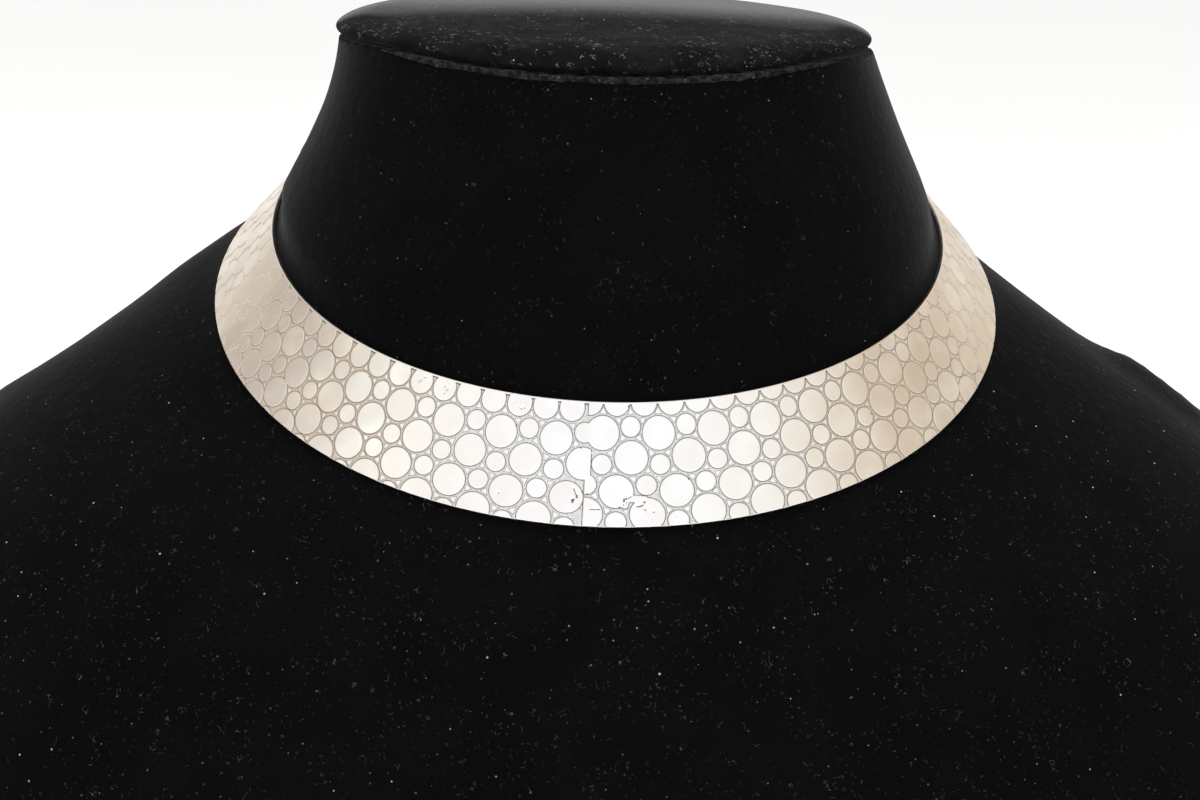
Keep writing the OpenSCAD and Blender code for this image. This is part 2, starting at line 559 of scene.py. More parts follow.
@dataclass(frozen=True)
class PaleFloor:
    """Plain matt white floor, with a faint unevenness."""

    paint: Colour = (0.90, 0.90, 0.895)
    dimmed: float = 0.985
    patch: float = 1.2
    rough: float = 0.8

    def build(self, effects: Effects) -> Material:
        """Makes the material.

        Args:
            effects: the shared node groups.

        Returns:
            The material.
        """
        material, graph, shader = start_material("pale_floor")
        place = graph.add("ShaderNodeTexCoord").outputs["Object"]
        uneven = graph.call(effects.patches, place, self.patch)
        dimmed = tuple(self.dimmed * part for part in self.paint)
        graph.feed(shader, {"Base Color": graph.mix(uneven, self.paint, dimmed), "Roughness": self.rough})
        return material


def add_object(name: str, data: bpy.types.ID) -> Piece:
    """Puts a new object into the scene.

    Args:
        name: the object's name.
        data: its mesh, light or camera.

    Returns:
        The object.
    """
    made = bpy.data.objects.new(name, data)
    bpy.context.scene.collection.objects.link(made)
    return made


def add_mesh(name: str, shape: BMesh, material: Material) -> Piece:
    """Puts a finished bmesh into the scene.

    Args:
        name: the object's name.
        shape: the bmesh, which is freed.
        material: its finish.

    Returns:
        The object.
    """
    mesh = bpy.data.meshes.new(name)
    shape.to_mesh(mesh)
    shape.free()
    mesh.materials.append(material)
    return add_object(name, mesh)


def finish_mesh(name: str, shape: BMesh, material: Material) -> Piece:
    """Turns a bmesh into a smooth piece that rides on the body.

    Args:
        name: the piece's name.
        shape: the finished shape, which is freed.
        material: its finish.

    Returns:
        The piece.
    """
    piece = add_mesh(name, shape, material)
    piece.data.shade_smooth()
    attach(piece, BODY)
    LOG.info("%s: %d faces", name, len(piece.data.polygons))
    return piece


def round_off(piece: Piece, levels: int) -> None:
    """Gives a piece a live rounding of that many levels."""
    smooth = piece.modifiers.new("rounding", "SUBSURF")
    smooth.levels = smooth.render_levels = levels


@dataclass(frozen=True)
class SheetForm:
    """The cuff's sheet: a strip of a cone that leans forward, widest at the throat, in millimetres."""

    upper_radius: float = 62.5
    front_width: float = 21.4
    nape_width: float = 13.0
    slope: float = math.radians(51.3)
    thickness: float = 1.0
    opening: float = math.radians(44.0)
    tilt: float = math.radians(22.2)
    centre_height: float = 190.0
    strip_radius: float = 68.75

    @property
    def end_turn(self) -> float:
        """The turn from the throat at which the round end starts."""
        nape_middle = self.upper_radius + self.nape_width / 2 * math.cos(self.slope)
        return math.pi - self.opening / 2 - math.atan(self.nape_width / 2 / nape_middle)

    @property
    def end_along(self) -> float:
        """The same place along the flat strip."""
        return self.end_turn * self.strip_radius

    @property
    def end_radius(self) -> float:
        """The radius of the round ends."""
        return self.width(self.end_turn) / 2

    def width(self, turn: float) -> float:
        """The sheet's width, which ends where its slope meets the rim's cone.

        Args:
            turn: the turn from the throat.

        Returns:
            The width down the slope.
        """
        fall = math.tan(self.slope) ** 2
        shift = (self.front_width - self.nape_width) / (2 * math.cos(self.slope))
        rim = self.upper_radius + self.front_width * math.cos(self.slope) - shift
        steep = self.front_width * math.sin(self.slope) * math.tan(self.slope)
        reach = rim + steep + self.upper_radius * fall
        a = 1 - fall * fall
        b = reach * fall - shift * math.cos(turn)
        c = shift * shift - reach * reach
        return ((math.sqrt(b * b - a * c) - b) / a - self.upper_radius) / math.cos(self.slope)

    def radius_at(self, drop: float) -> float:
        """The cone's radius that far down the sheet."""
        return self.upper_radius + drop * math.cos(self.slope)

    def end_point(self, side: float, clock: float, inset: float) -> Flat:
        """A flat place on a round end.

        Args:
            side: 1 for the right end and -1 for the left.
            clock: angle round the end, from 0 at the upper edge to pi at the rim.
            inset: how far inside the outline it is.

        Returns:
            Its (along, drop).
        """
        reach = self.end_radius - inset
        drop = self.end_radius - reach * math.cos(clock)
        turn = math.asin(reach * math.sin(clock) / self.radius_at(drop))
        return side * (self.end_along + turn * self.strip_radius), drop

    def outline(self, inset: float, step: float = 1.0, end_steps: int = 20) -> list[Flat]:
        """The sheet's flat outline, moved inwards.

        Args:
            inset: how far inwards.
            step: distance between points on the long edges.
            end_steps: steps round each end.

        Returns:
            The places in order, once round.
        """
        count = round(2 * self.end_along / step)
        places = [self.end_along * (2 * i / count - 1) for i in range(count + 1)]
        upper = [(along, inset) for along in places]
        rim = [(along, self.width(along / self.strip_radius) - inset) for along in reversed(places)]
        clocks = [math.pi * i / end_steps for i in range(1, end_steps)]
        right = [self.end_point(1, clock, inset) for clock in clocks]
        left = [self.end_point(-1, clock, inset) for clock in reversed(clocks)]
        return upper + right + rim + left

    def inside_by(self, along: float, drop: float) -> float:
        """How far inside the outline a flat place is.

        Args:
            along: the place along the strip.
            drop: the place down the sheet.

        Returns:
            The distance, which is less than 0 beyond the outline.
        """
        if abs(along) <= self.end_along:
            return min(drop, self.width(along / self.strip_radius) - drop)
        turn = (abs(along) - self.end_along) / self.strip_radius
        beyond = self.radius_at(drop) * math.sin(turn)
        return self.end_radius - math.hypot(beyond, drop - self.end_radius)

    def below_upper_edge(self, along: float, drop: float) -> float:
        """How far inside the upper edge a flat place is, which the rim has no say in.

        Args:
            along: the place along the strip.
            drop: the place down the sheet.

        Returns:
            The distance, and the front's whole width for the sheet's lower half.
        """
        if drop > self.width(min(abs(along) / self.strip_radius, self.end_turn)) / 2:
            return self.front_width
        return self.inside_by(along, drop)

    def moved_to(self, along: float, drop: float, inset: float) -> Flat:
        """Moves a place of the outline inwards or outwards.

        Args:
            along: the place along the strip.
            drop: the place down the sheet.
            inset: how far inside the outline it is to be.

        Returns:
            Its new (along, drop).
        """
        if abs(along) > self.end_along + TOUCHING:
            turn = (abs(along) - self.end_along) / self.strip_radius
            beyond = self.radius_at(drop) * math.sin(turn)
            return self.end_point(math.copysign(1, along), math.atan2(beyond, self.end_radius - drop), inset)
        width = self.width(along / self.strip_radius)
        return (along, inset) if drop < width / 2 else (along, width - inset)

    def bend(self, flat: np.ndarray) -> np.ndarray:
        """Bends flat places onto the cone and leans it forward.

        Args:
            flat: rows of along, drop and height above the sheet's face, in millimetres.

        Returns:
            The same places in the row frame, in metres.
        """
        turn = flat[:, 0] / self.strip_radius
        out = self.upper_radius + flat[:, 1] * math.cos(self.slope) + flat[:, 2] * math.sin(self.slope)
        rise = flat[:, 2] * math.cos(self.slope) - flat[:, 1] * math.sin(self.slope)
        back = -out * np.cos(turn)
        deep = back * math.cos(self.tilt) - rise * math.sin(self.tilt)
        high = back * math.sin(self.tilt) + rise * math.cos(self.tilt) + self.centre_height
        return np.stack([out * np.sin(turn), deep, high], axis=1) * MM


class Side(Enum):
    """The two strikes of the die, which meet beside the middle of the throat."""

    LEFT = -1
    RIGHT = 1


@dataclass(frozen=True)
class Punch:
    """One circle of the die's repeat: its place along as a share of the pitch, and its size."""

    share: float
    drop: float
    radius: float
    spill: float = 0.0


@dataclass(frozen=True)
class Disc:
    """One raised circle on the flat strip, straight where the seam cuts it."""

    along: float
    drop: float
    radius: float
    tone: float
    side: Side
    cut: float

    def ring(self, offset: float, count: int) -> list[Flat]:
        """Its outline, moved outwards.

        Args:
            offset: how far outwards.
            count: points in the ring.

        Returns:
            The places in order, once round.
        """
        points = []
        limit = self.cut - self.side.value * offset
        keep = max if self.side is Side.RIGHT else min
        for i in range(count):
            angle = math.tau * i / count
            along = self.along + (self.radius + offset) * math.cos(angle)
            points.append((keep(along, limit), self.drop + (self.radius + offset) * math.sin(angle)))
        return points

    def inside_by(self, flat: np.ndarray) -> np.ndarray:
        """How far inside it each flat place is."""
        apart = np.hypot(flat[:, 0] - self.along, flat[:, 1] - self.drop)
        return np.minimum(self.radius - apart, (flat[:, 0] - self.cut) * self.side.value)


@dataclass(frozen=True)
class Strike:
    """One strike of the die: where its repeat starts, and how it came out.

    Away from the throat its rows sink by lean, bow by curl, and draw together by squeeze.
    """

    side: Side
    start: float
    pitch: float
    squeeze: float
    sink: float = 0.0
    swell: float = 1.0
    lean: float = 0.0
    curl: float = 0.0

    def place(self, share: float, drop: float, fan: float) -> Flat:
        """Where a punch comes out on the sheet.

        Args:
            share: its place along, in repeats from the strike's start.
            drop: its place down the die.
            fan: how much the lower rows draw together, for each millimetre down.

        Returns:
            Its (along, drop).
        """
        along = self.start + share * self.pitch
        deep = drop * (1 - self.squeeze * along**2) + self.sink + self.lean * along + self.curl * along**2
        return along * (1 - fan * (drop + self.sink)), deep


@dataclass
class Die:
    """The die's repeat, charted, and the two strikes that fill the sheet."""

    punches: tuple[Punch, ...] = (
        Punch(0.25, 0.0, 2.3),
        Punch(0.75, 0.0, 2.3),
        Punch(0.0, 5.37, 2.85),
        Punch(0.5, 4.18, 1.68, 3.0),
        Punch(0.5, 9.53, 2.8, 0.7),
        Punch(0.0, 10.72, 1.62),
        Punch(0.25, 15.34, 2.74),
        Punch(0.75, 14.21, 1.6),
        Punch(0.75, 19.27, 2.72),
        Punch(0.25, 20.41, 1.58),
    )
    strikes: tuple[Strike, ...] = (
        Strike(Side.LEFT, -9.15, 9.95, 2.2e-5, 1.11, 0.965, -0.0233, -1.5e-4),
        Strike(Side.RIGHT, -0.93, 10.1, 1.3e-5),
    )
    fan: float = 0.0012
    seam: float = -3.58
    least_showing: float = 0.75
    least_on_sheet: float = 0.4
    spare_repeats: int = 2
    jitter: float = 0.05
    seed: int = 7

    def lay(self, form: SheetForm) -> list[Disc]:
        """Lays out the raised circles of both strikes that show on the sheet.

        Args:
            form: the sheet.

        Returns:
            The circles.
        """
        draw = random.Random(self.seed)
        discs = []
        for strike in self.strikes:
            repeats = math.ceil(form.end_along / strike.pitch) + self.spare_repeats
            for k in range(-repeats, repeats + 1):
                for punch in self.punches:
                    along, drop = strike.place(k + punch.share, punch.drop, self.fan)
                    spill = punch.spill if strike.side is Side.LEFT else 0.0
                    disc = Disc(
                        along + draw.uniform(-self.jitter, self.jitter),
                        drop + draw.uniform(-self.jitter, self.jitter),
                        punch.radius * strike.swell + draw.uniform(-self.jitter, self.jitter) / 2,
                        draw.random(),
                        strike.side,
                        self.seam + spill,
                    )
                    showing = (disc.along - disc.cut) * strike.side.value + disc.radius
                    on_sheet = form.inside_by(disc.along, disc.drop) + disc.radius
                    if showing > self.least_showing and on_sheet > self.least_on_sheet:
                        discs.append(disc)
        return discs


@dataclass(frozen=True)
class Stud:
    """A small raised triangle between three circles."""

    middle: Vector
    corners: tuple[Vector, Vector, Vector]

    def ring(self, share: float) -> list[Flat]:
        """Its outline, shrunk to a share about its middle."""
        return [tuple(self.middle.lerp(corner, share)) for corner in self.corners]

    def level(self, flat: np.ndarray) -> np.ndarray:
        """How deep inside it each flat place is.

        Args:
            flat: rows of along and drop.

        Returns:
            1 at its middle, 0 on its outline and less than 0 beyond.
        """
        found = np.full(len(flat), np.inf)
        for i in range(3):
            a, b = self.corners[i], self.corners[(i + 1) % 3]
            normal = Vector((a.y - b.y, b.x - a.x)).normalized()
            inner = (self.middle - a).dot(normal)
            away = (flat[:, 0] - a.x) * normal.x + (flat[:, 1] - a.y) * normal.y
            found = np.minimum(found, away / inner)
        return found


@dataclass
class StudFinder:
    """Finds the gaps between three neighbouring circles that hold a raised triangle.

    Those beside the seam are charted: along, drop, size, and the turn of one corner in degrees.
    """

    least_gap: float = 0.12
    most_gap: float = 1.9
    least_room: float = 0.28
    most_room: float = 1.15
    reach: float = 0.5
    clear: float = 0.25
    charted: tuple[tuple[float, float, float, float], ...] = (
        (-3.95, 2.95, 0.34, 90),
        (-5.6, 7.35, 0.42, 80),
        (-1.85, 16.25, 0.5, 200),
        (-5.0, 19.85, 0.4, 100),
        (3.1, 18.6, 0.5, 85),
        (-2.6, 8.8, 0.3, 30),
    )

    def find(self, discs: list[Disc], form: SheetForm) -> list[Stud]:
        """Finds the triangles between the circles of a sheet.

        Args:
            discs: the raised circles.
            form: the sheet.

        Returns:
            The triangles that lie whole on the sheet, and the charted ones.
        """
        middles = [Vector((disc.along, disc.drop)) for disc in discs]
        _, _, faces, kept, _, _ = delaunay_2d_cdt(middles, [], [], 0, TOUCHING)
        studs = []
        for face in faces:
            trio = [discs[kept[i][0]] for i in face]
            stud = self.between(trio)
            if stud and all(form.inside_by(corner.x, corner.y) > self.clear for corner in stud.corners):
                studs.append(stud)
        for along, drop, size, turn in self.charted:
            middle = Vector((along, drop))
            turns = [math.radians(turn + step) for step in (0, 120, 240)]
            corners = tuple(middle + size * Vector((math.cos(a), math.sin(a))) for a in turns)
            studs.append(Stud(middle, corners))
        return studs

    def between(self, trio: list[Disc]) -> Stud | None:
        """Finds the triangle between three circles.

        Args:
            trio: the circles.

        Returns:
            The triangle, or None where the circles aren't near neighbours.
        """
        pairs = [(trio[i], trio[(i + 1) % 3]) for i in range(3)]
        gaps = []
        for a, b in pairs:
            start, end = Vector((a.along, a.drop)), Vector((b.along, b.drop))
            gap = (end - start).length - a.radius - b.radius
            if not self.least_gap < gap < self.most_gap:
                return None
            gaps.append(start.lerp(end, (a.radius + gap / 2) / (end - start).length))
        middle, room = self.equal_point(trio)
        if not self.least_room < room < self.most_room:
            return None
        return Stud(middle, tuple(middle.lerp(gap, self.reach) for gap in gaps))

    def equal_point(self, trio: list[Disc]) -> tuple[Vector, float]:
        """Finds the point that is equally far from each of three circles.

        Args:
            trio: the circles.

        Returns:
            The point and its distance from them.
        """
        first = trio[0]
        rows = [(2 * (d.along - first.along), 2 * (d.drop - first.drop)) for d in trio[1:]]
        spread = [2 * (d.radius - first.radius) for d in trio[1:]]
        plain = [
            (d.along**2 - first.along**2) + (d.drop**2 - first.drop**2) - (d.radius**2 - first.radius**2)
            for d in trio[1:]
        ]
        solve = Matrix(rows).inverted()
        base, slant = solve @ Vector(plain), -(solve @ Vector(spread))
        start = base - Vector((first.along, first.drop))
        a = slant.length_squared - 1
        b = start.dot(slant) - first.radius
        c = start.length_squared - first.radius**2
        root = math.sqrt(max(0.0, b * b - a * c))
        room = min((x for x in ((-b + root) / a, (-b - root) / a) if x > 0), default=0.0)
        return base + slant * room, room


@dataclass(frozen=True)
class Pit:
    """A small dent or nick in the raised face."""

    along: float
    drop: float
    radius: float


@dataclass(frozen=True)
class Scratch:
    """A fine groove between two flat places."""

    start: tuple[float, float]
    end: tuple[float, float]
    radius: float = 0.09

    def pits(self) -> list[Pit]:
        """The row of small dents that makes the groove.

        Returns:
            The dents from the start to the end.
        """
        start, end = Vector(self.start), Vector(self.end)
        count = math.ceil((end - start).length / self.radius)
        return [Pit(*start.lerp(end, i / count), self.radius) for i in range(count + 1)]


@dataclass
class NeckCuff:
    """The silver cuff: one stamped sheet, bent onto its cone."""

    form: SheetForm = field(default_factory=SheetForm)
    die: Die = field(default_factory=Die)
    finder: StudFinder = field(default_factory=StudFinder)
    wall: float = 0.13
    shoulder: float = 0.14
    groove: float = -0.15
    ground: float = -0.1
    stud_top: float = -0.02
    stud_slope: float = 0.28
    # Painted shade: a dark line round each stud stands for the shade of its sides.
    stud_line: float = 0.2
    ground_level: float = 0.35
    stud_line_level: float = 0.08
    edge_band: float = 0.3
    edge_inset: float = 0.2
    edge_weld: float = 0.03
    edge_turn: tuple[Flat, ...] = ((0.06, 0.05), (0.0, 0.2))
    plain_tone: float = 0.3
    brow: float = 0.12
    ring_steps: tuple[tuple[float, int], ...] = ((2.0, 40), (1.0, 28), (0.0, 14))
    large_disc: float = 1.0
    inner_rings: tuple[tuple[float, int], ...] = ((0.4, 2), (0.75, 4))
    pit_steps: tuple[int, int] = (10, 7)
    pit_floor: float = 0.5
    disc_margin: float = 1.0
    stud_margin: float = 2.0
    back_spacing: float = 2.4
    back_margin: float = 0.5
    point_merge: float = 1e-4
    nick_share: float = 0.12
    nick_reach: tuple[float, float] = (0.96, 1.06)
    nick_size: tuple[float, float] = (0.13, 0.3)
    pits: tuple[Pit, ...] = (
        Pit(-5.43, 17.1, 0.32), Pit(-5.25, 16.95, 0.26), Pit(-5.4, 17.4, 0.2), Pit(-4.77, 16.5, 0.25),
        Pit(-4.75, 16.2, 0.18), Pit(-4.05, 15.5, 0.13), Pit(-4.1, 18.4, 0.12), Pit(3.9, 16.2, 0.15),
        Pit(3.6, 16.4, 0.18), Pit(3.2, 16.5, 0.22), Pit(2.85, 16.65, 0.26), Pit(2.8, 16.95, 0.2),
        Pit(3.2, 17.15, 0.13), Pit(2.75, 17.55, 0.14), Pit(2.1, 17.95, 0.2), Pit(4.95, 17.85, 0.16),
        Pit(5.2, 17.85, 0.2), Pit(5.5, 17.8, 0.22), Pit(5.8, 17.65, 0.2), Pit(6.1, 17.15, 0.24),
        Pit(6.2, 18.45, 0.18), Pit(7.5, 18.85, 0.15), Pit(-15.6, 2.3, 0.14), Pit(-16.1, 2.5, 0.16),
        Pit(-16.6, 2.4, 0.12), Pit(-31.0, 2.0, 0.12), Pit(-31.6, 1.6, 0.1), Pit(-31.3, 2.8, 0.12),
        Pit(-36.2, 1.2, 0.1), Pit(-36.9, 2.1, 0.1), Pit(-17.4, 17.3, 0.14),
    )
    scratches: tuple[Scratch, ...] = (
        Scratch((-2.5, 18.43), (-1.0, 18.4)),
        Scratch((-5.35, 15.05), (-4.9, 16.1)),
    )
    smear: tuple[tuple[float, float, float], ...] = (
        (4.1, 16.6, 0.45),
        (4.7, 16.55, 0.55),
        (5.4, 16.6, 0.55),
        (6.1, 16.65, 0.5),
        (2.95, 17.6, 0.5),
    )

    def stamp_discs(self) -> list[Disc]:
        """The circles of both strikes, and the smear where two of them ran together."""
        smeared = [Disc(*place, 1.0, Side.RIGHT, self.die.seam) for place in self.smear]
        return self.die.lay(self.form) + smeared

    def make_nicks(self, discs: list[Disc]) -> list[Pit]:
        """Small nicks at the edges of some circles, with the charted pits and scratches.

        Args:
            discs: the raised circles.

        Returns:
            The dents.
        """
        draw = random.Random(self.die.seed + 1)
        nicks = list(self.pits)
        for scratch in self.scratches:
            nicks.extend(scratch.pits())
        for disc in discs:
            if draw.random() < self.nick_share:
                angle = draw.uniform(0, math.tau)
                reach = disc.radius * draw.uniform(*self.nick_reach)
                along = disc.along + reach * math.cos(angle)
                nicks.append(Pit(along, disc.drop + reach * math.sin(angle), draw.uniform(*self.nick_size)))
        return nicks

    def disc_rings(self, disc: Disc) -> list[list[Flat]]:
        """The lines that one circle's relief turns on.

        Args:
            disc: the circle.

        Returns:
            Closed lines from the ground up to the face, and inside the larger circles' faces.
        """
        steps = next(steps for least, steps in self.ring_steps if disc.radius > least)
        offsets = (self.wall + self.shoulder, self.wall, 0.0, -self.brow)
        rings = [disc.ring(offset, steps) for offset in offsets]
        if disc.radius > self.large_disc:
            rings += [disc.ring(-share * disc.radius, steps // part) for share, part in self.inner_rings]
        return rings

    def chart(
        self, discs: list[Disc], studs: list[Stud], pits: list[Pit]
    ) -> tuple[list[Vector], list[tuple[int, int]]]:
        """Lays out what the relief turns on, in the flat.

        Args:
            discs: the raised circles.
            studs: the raised triangles.
            pits: the dents.

        Returns:
            The points, and the lines as pairs of their numbers.
        """
        insets = (self.edge_inset, self.edge_band, self.edge_band + self.wall)
        rings = [self.form.outline(inset) for inset in insets]
        for disc in discs:
            rings += self.disc_rings(disc)
        for stud in studs:
            rings += [stud.ring(share) for share in (1.0, 1 - self.stud_slope, 1 + self.stud_line)]
        for pit in pits:
            whole = Disc(pit.along, pit.drop, pit.radius, 0.0, Side.RIGHT, -math.inf)
            rings.append(whole.ring(0.0, self.pit_steps[0]))
            rings.append(whole.ring(-self.pit_floor * pit.radius, self.pit_steps[1]))
        points, lines = [], []
        for ring in rings:
            start = len(points)
            points.extend(Vector(place) for place in ring)
            lines.extend((start + i, start + (i + 1) % len(ring)) for i in range(len(ring)))
        return points, lines

    def relief(self, flat: np.ndarray, discs: list[Disc], studs: list[Stud], pits: list[Pit]) -> np.ndarray:
        """The stamped shape at each flat place.

        Args:
            flat: rows of along and drop.
            discs: the raised circles.
            studs: the raised triangles.
            pits: the dents.

        Returns:
            Rows of height, relief level and tone.
        """
        inside = np.array([self.edge_band - self.form.below_upper_edge(*place) for place in flat])
        tone = np.full(len(flat), self.plain_tone)
        for disc in discs:
            near = np.flatnonzero(abs(flat[:, 0] - disc.along) < disc.radius + self.disc_margin)
            found = disc.inside_by(flat[near])
            more = found > inside[near]
            inside[near[more]] = found[more]
            tone[near[more]] = disc.tone
        steps = (-(self.wall + self.shoulder), -self.wall, 0.0)
        height = np.interp(inside, steps, (self.ground, self.groove, 0.0))
        level = np.interp(inside, steps, (self.ground_level, 0.0, 1.0))
        for stud in studs:
            near = np.flatnonzero(abs(flat[:, 0] - stud.middle.x) < self.stud_margin)
            inner = stud.level(flat[near])
            found = np.interp(inner, (0.0, self.stud_slope), (0.0, 1.0))
            lifted = self.ground + found * (self.stud_top - self.ground)
            height[near] = np.where(found > 0, np.maximum(height[near], lifted), height[near])
            # The dark line round each stud is painted shade of its sides.
            turns = (-self.stud_line, 0.0, self.stud_slope)
            edged = np.interp(inner, turns, (self.ground_level, self.stud_line_level, 1.0))
            sunk = level[near] <= self.ground_level
            edged = np.where(inner > 0, edged, np.minimum(edged, level[near]))
            level[near] = np.where(sunk & (inner > -self.stud_line), edged, level[near])
        for pit in pits:
            near = np.flatnonzero(abs(flat[:, 0] - pit.along) < pit.radius)
            apart = np.hypot(flat[near, 0] - pit.along, flat[near, 1] - pit.drop) / pit.radius
            sunk = np.interp(apart, (self.pit_floor, 1.0), (1.0, 0.0))
            height[near] = np.minimum(height[near], self.groove * sunk)
            level[near] = np.minimum(level[near], 1 - sunk)
        return np.stack([height, level, tone], axis=1)

    def lay_faces(self, shape: BMesh, places: np.ndarray, faces: list, made: dict[int, BMVert]) -> None:
        """Lays the triangles that lie on the sheet, in the flat.

        Args:
            shape: the sheet's bmesh.
            places: rows of along, drop and height.
            faces: the triangles, as numbers of places.
            made: the vertices that are there already, by number, to which the new ones are added.
        """
        for face in faces:
            middle = places[list(face), :2].mean(axis=0)
            if self.form.inside_by(*middle) < self.edge_inset:
                continue
            for i in face:
                if i not in made:
                    made[i] = shape.verts.new(places[i])
            shape.faces.new([made[i] for i in face])

    def wrap_edge(self, shape: BMesh) -> list[BMEdge]:
        """Rounds the sheet's edge over to its back.

        Args:
            shape: the sheet's bmesh, with its face laid.

        Returns:
            The back's open edges.
        """
        deep = -self.form.thickness
        turns = [(inset, -down) for inset, down in self.edge_turn]
        turns += [(inset, deep + down) for inset, down in reversed(self.edge_turn)]
        rim = [edge for edge in shape.edges if edge.is_boundary]
        for inset, height in (*turns, (self.edge_inset, deep)):
            made = bmesh.ops.extrude_edge_only(shape, edges=rim)["geom"]
            for vert in (part for part in made if isinstance(part, BMVert)):
                vert.co = (*self.form.moved_to(vert.co.x, vert.co.y, inset), min(height, vert.co.z))
            rim = [part for part in made if isinstance(part, BMEdge) and part.is_boundary]
        ends = list({vert for edge in rim for vert in edge.verts})
        bmesh.ops.remove_doubles(shape, verts=ends, dist=self.edge_weld)
        return [edge for edge in shape.edges if edge.is_boundary]

    def back_side(self, shape: BMesh, rim: list[BMEdge]) -> None:
        """Closes the sheet's plain back.

        Args:
            shape: the sheet's bmesh.
            rim: the back's open edges.
        """
        verts = list({vert for edge in rim for vert in edge.verts})
        index = {vert: i for i, vert in enumerate(verts)}
        points = [Vector(vert.co[:2]) for vert in verts]
        lines = [tuple(index[vert] for vert in edge.verts) for edge in rim]
        spacing = self.back_spacing
        columns = math.ceil((self.form.end_along + self.form.end_radius) / spacing)
        for i in range(-columns, columns + 1):
            for j in range(1, int(self.form.front_width / spacing) + 1):
                along, drop = (i + 0.5 * (j % 2)) * spacing, j * spacing
                if self.form.inside_by(along, drop) > self.edge_inset + self.back_margin:
                    points.append(Vector((along, drop)))
        places, _, faces, kept, _, _ = delaunay_2d_cdt(points, lines, [], 0, TOUCHING)
        made = {i: verts[first[0]] for i, first in enumerate(kept) if first and first[0] < len(verts)}
        places = np.array([(*place, -self.form.thickness) for place in places])
        self.lay_faces(shape, places, [tuple(reversed(face)) for face in faces], made)

    def close_seam(self, shape: BMesh) -> None:
        """Takes out flat slivers, where three faces share an edge, and fills what is open.

        Args:
            shape: the sheet's bmesh, with its back laid.
        """
        crowded = [edge for edge in shape.edges if len(edge.link_faces) > 2]
        slivers = {min(edge.link_faces, key=lambda face: face.calc_area()) for edge in crowded}
        bmesh.ops.delete(shape, geom=list(slivers), context="FACES")
        bmesh.ops.holes_fill(shape, edges=[edge for edge in shape.edges if edge.is_boundary], sides=0)

    def build(self, material: Material) -> Piece:
        """Makes the cuff's piece, which stands for the CAD node.

        Args:
            material: the stamped silver.

        Returns:
            The piece.
        """
        discs = self.stamp_discs()
        studs = self.finder.find(discs, self.form)
        pits = self.make_nicks(discs)
        points, lines = self.chart(discs, studs, pits)
        places, _, faces, _, _, _ = delaunay_2d_cdt(points, lines, [], 0, self.point_merge)
        flat = np.array([tuple(place) for place in places])
        shape_of = self.relief(flat, discs, studs, pits)
        flat = np.column_stack([flat, shape_of[:, 0]])
        shape = bmesh.new()
        layers = {name: shape.verts.layers.float.new(name) for name in ("relief", "tone")}
        strip = shape.verts.layers.float_vector.new("strip")
        front = {}
        self.lay_faces(shape, flat, faces, front)
        self.back_side(shape, self.wrap_edge(shape))
        self.close_seam(shape)
        for vert in shape.verts:
            vert[strip] = vert.co
            vert[layers["relief"]] = 1.0
            vert[layers["tone"]] = self.plain_tone
        for i, vert in front.items():
            vert[layers["relief"]] = shape_of[i, 1]
            vert[layers["tone"]] = shape_of[i, 2]
        bent = self.form.bend(np.array([tuple(vert.co) for vert in shape.verts]))
        for vert, place in zip(shape.verts, bent):
            vert.co = place
        bmesh.ops.recalc_face_normals(shape, faces=shape.faces)
        # The farthest face of a thin open band doesn't tell which way is out, but its volume does.
        if shape.calc_volume(signed=True) < 0:
            bmesh.ops.reverse_faces(shape, faces=shape.faces)
        LOG.info("cuff: %d circles, %d studs, %d pits", len(discs), len(studs), len(pits))
        piece = finish_mesh("stamped_cuff", shape, material)
        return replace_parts(piece, "cuff")


@dataclass(frozen=True)
class Swell:
    """A soft rise or hollow of the velvet about a line from start to end, in millimetres."""

    start: tuple[float, float, float]
    end: tuple[float, float, float]
    reach: float
    rise: float

    def lift(self, places: np.ndarray) -> np.ndarray:
        """How far the velvet moves outwards.

        Args:
            places: rows of places in millimetres.

        Returns:
            The lift of each place in millimetres.
        """
        start, run = np.array(self.start), np.array(self.end) - np.array(self.start)
        share = np.clip((places - start) @ run / (run @ run), 0, 1)
        apart = np.linalg.norm(places - start - share[:, None] * run, axis=1)
        return self.rise * np.exp(-((apart / self.reach) ** 2))


@dataclass(frozen=True)
class NeckTop:
    """The leaning plane on which the cap lies, in millimetres, and how its crease rises at the sides."""

    middle: tuple[float, float, float] = (-1.4, 0, 223.4)
    lean: float = math.radians(0.144 * 22.2)
    rim: float = 49.3
    edge_power: int = 8
    front_rise: float = 0.2
    side_rise: float = 1.65
    side_turn: float = math.radians(55)
    side_span: float = math.radians(27)

    def place(self) -> Matrix:
        """Stands what is made about the origin in millimetres on the plane, in metres."""
        turned = Matrix.Translation(self.middle) @ Matrix.Rotation(self.lean, 4, "X")
        return Matrix.Scale(MM, 4) @ turned

    def above(self, places: np.ndarray) -> np.ndarray:
        """How far above the plane each place is."""
        normal = np.array((0, -math.sin(self.lean), math.cos(self.lean)))
        return (places - np.array(self.middle)) @ normal

    def rise(self, turn: np.ndarray | float) -> np.ndarray | float:
        """How far the crease stands above the plane at a turn from the front."""
        side = np.exp(-(((np.abs(turn) - self.side_turn) / self.side_span) ** 2))
        return self.front_rise + self.side_rise * side


